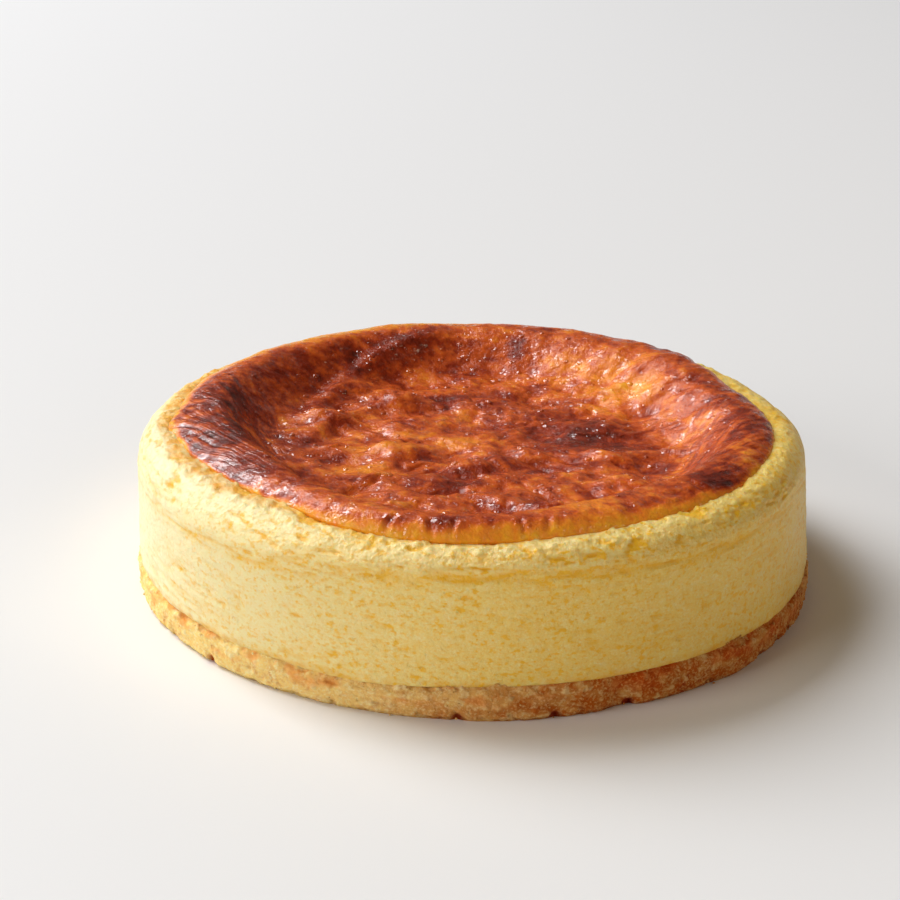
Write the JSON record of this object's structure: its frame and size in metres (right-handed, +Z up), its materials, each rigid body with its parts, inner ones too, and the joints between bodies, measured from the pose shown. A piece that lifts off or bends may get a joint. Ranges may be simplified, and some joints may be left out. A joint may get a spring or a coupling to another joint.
{
  "type": "gluten-free cheesecake",
  "caption": "Round whole baked cheesecake: pressed biscuit base, deep pale sponge-like cheese wall, and a glossy browned top that has sunk inside a rolled, folded rim.",
  "frame": {"origin": "middle of the flat underside, on the surface that the cake stands on", "axes": "+Z up through the middle of the cake; -Y towards the side the picture shows; +X to its right"},
  "size_m": [0.1615, 0.1625, 0.0404],
  "materials": {
    "biscuit": "matte",
    "filling": "matte",
    "browned_skin": "satin"
  },
  "bodies": {
    "root": {"biscuit_base": "biscuit", "cheese_filling": "filling"}
  },
  "joints": []
}
